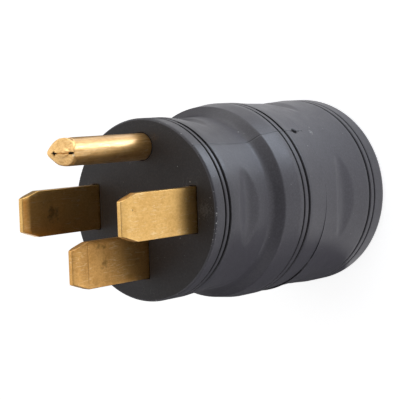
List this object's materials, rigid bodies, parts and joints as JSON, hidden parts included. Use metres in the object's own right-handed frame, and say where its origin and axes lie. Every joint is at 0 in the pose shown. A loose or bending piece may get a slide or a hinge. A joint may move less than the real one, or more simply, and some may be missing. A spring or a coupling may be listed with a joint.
{
  "type": "power plug adapter",
  "caption": "Round moulded power adapter, straight flat blades and a hollow round ground pin at one end, a curved-slot locking socket face at the other.",
  "frame": {"origin": "centre of the rear (socket) rim, on the surface that the part stands on", "axes": "+Z along the body's axis from the socket end to the prongs, +Y from the axis towards the ground pin, +X along the line of the two hot blades"},
  "size_m": [0.0582, 0.0582, 0.1163],
  "materials": {
    "housing": "satin moulded plastic, charcoal, smooth with fine dust and scuffs",
    "socket_insulator": "matte moulded plastic, charcoal",
    "inner_insulator": "matte moulded plastic",
    "pin_brass": "drawn, bright, lightly rubbed",
    "blade_brass": "rolled bar, lightly brushed, with handling smudges",
    "strip_brass": "plain rolled strip",
    "spring_steel": "plain rolled spring strip",
    "screw_steel": "plated"
  },
  "bodies": {
    "root": {"plug_housing": "housing", "socket_housing": "housing", "socket_face": "socket_insulator", "contact_carrier": "inner_insulator", "blade_carrier": "inner_insulator", "insulating_divider": "inner_insulator", "ground_pin": "pin_brass", "hot_blade_x": "blade_brass", "hot_blade_y": "blade_brass", "neutral_blade": "blade_brass", "hot_link_x": "strip_brass", "hot_link_y": "strip_brass", "ground_link": "strip_brass", "neutral_link": "strip_brass", "blade_rivets": "strip_brass", "contact_rivets": "strip_brass", "hot_x_contact": "strip_brass", "hot_y_contact": "strip_brass", "neutral_contact": "strip_brass", "ground_contact": "strip_brass", "hot_x_spring": "spring_steel", "hot_y_spring": "spring_steel", "neutral_spring": "spring_steel", "ground_spring": "spring_steel", "assembly_screws": "screw_steel"}
  },
  "joints": []
}
